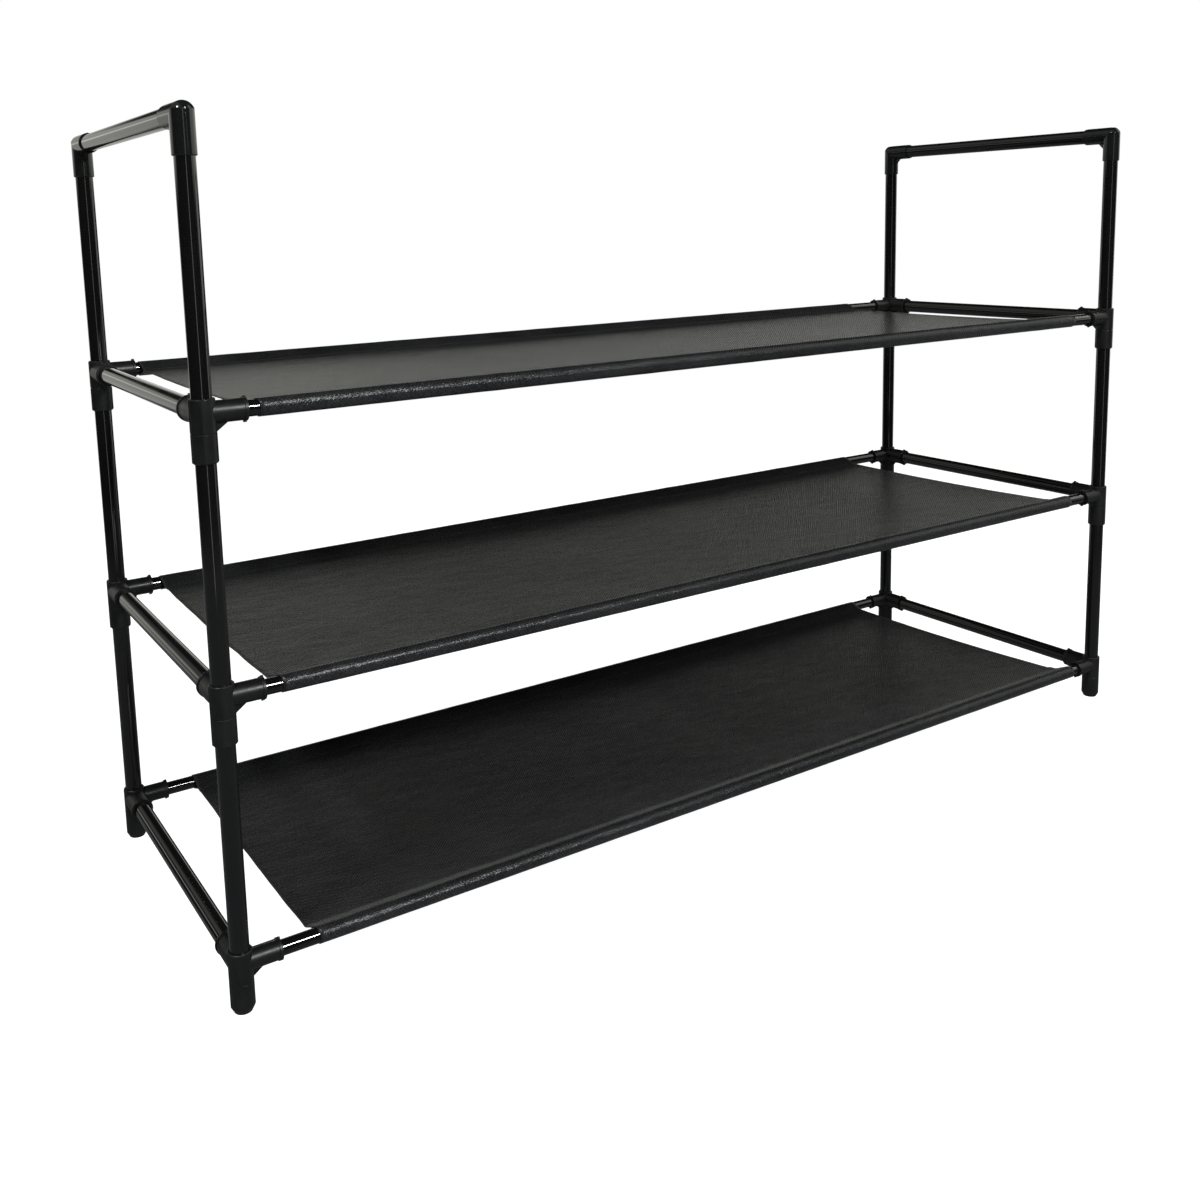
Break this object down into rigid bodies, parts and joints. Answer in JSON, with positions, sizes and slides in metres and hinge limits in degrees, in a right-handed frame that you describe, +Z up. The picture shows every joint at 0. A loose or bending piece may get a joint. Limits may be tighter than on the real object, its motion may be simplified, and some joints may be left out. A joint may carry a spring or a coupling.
{
  "type": "tiered shoe rack",
  "caption": "Free-standing open shoe rack: fabric shelves on a push-fit frame of black steel tubes and moulded corner connectors, with a carrying handle bar at each end.",
  "frame": {"origin": "on the floor, midway between the four feet", "axes": "+X along the shelves to the right as seen from the front, +Y from the front of the rack to its rear, +Z up"},
  "size_m": [0.9234, 0.2962, 0.5816],
  "materials": {
    "black_tube": "gloss black coating on steel tube",
    "moulded_connector": "semi-gloss black moulded plastic with fine parting lines",
    "shelf_fabric": "matt charcoal non-woven fabric with sewn rod tunnels"
  },
  "bodies": {
    "root": {"foot_connector_front_left": "moulded_connector", "foot_connector_front_right": "moulded_connector", "foot_connector_rear_left": "moulded_connector", "foot_connector_rear_right": "moulded_connector", "middle_connector_front_left": "moulded_connector", "middle_connector_front_right": "moulded_connector", "middle_connector_rear_left": "moulded_connector", "middle_connector_rear_right": "moulded_connector", "top_connector_front_left": "moulded_connector", "top_connector_front_right": "moulded_connector", "top_connector_rear_left": "moulded_connector", "top_connector_rear_right": "moulded_connector", "handle_elbow_front_left": "moulded_connector", "handle_elbow_front_right": "moulded_connector", "handle_elbow_rear_left": "moulded_connector", "handle_elbow_rear_right": "moulded_connector", "lower_upright_front_left": "black_tube", "lower_upright_front_right": "black_tube", "lower_upright_rear_left": "black_tube", "lower_upright_rear_right": "black_tube", "middle_upright_front_left": "black_tube", "middle_upright_front_right": "black_tube", "middle_upright_rear_left": "black_tube", "middle_upright_rear_right": "black_tube", "upper_upright_front_left": "black_tube", "upper_upright_front_right": "black_tube", "upper_upright_rear_left": "black_tube", "upper_upright_rear_right": "black_tube", "bottom_long_rod_front": "black_tube", "bottom_long_rod_rear": "black_tube", "bottom_end_rod_left": "black_tube", "bottom_end_rod_right": "black_tube", "middle_long_rod_front": "black_tube", "middle_long_rod_rear": "black_tube", "middle_end_rod_left": "black_tube", "middle_end_rod_right": "black_tube", "top_long_rod_front": "black_tube", "top_long_rod_rear": "black_tube", "top_end_rod_left": "black_tube", "top_end_rod_right": "black_tube", "handle_bar_left": "black_tube", "handle_bar_right": "black_tube", "bottom_shelf_fabric": "shelf_fabric", "middle_shelf_fabric": "shelf_fabric", "top_shelf_fabric": "shelf_fabric"}
  },
  "joints": []
}
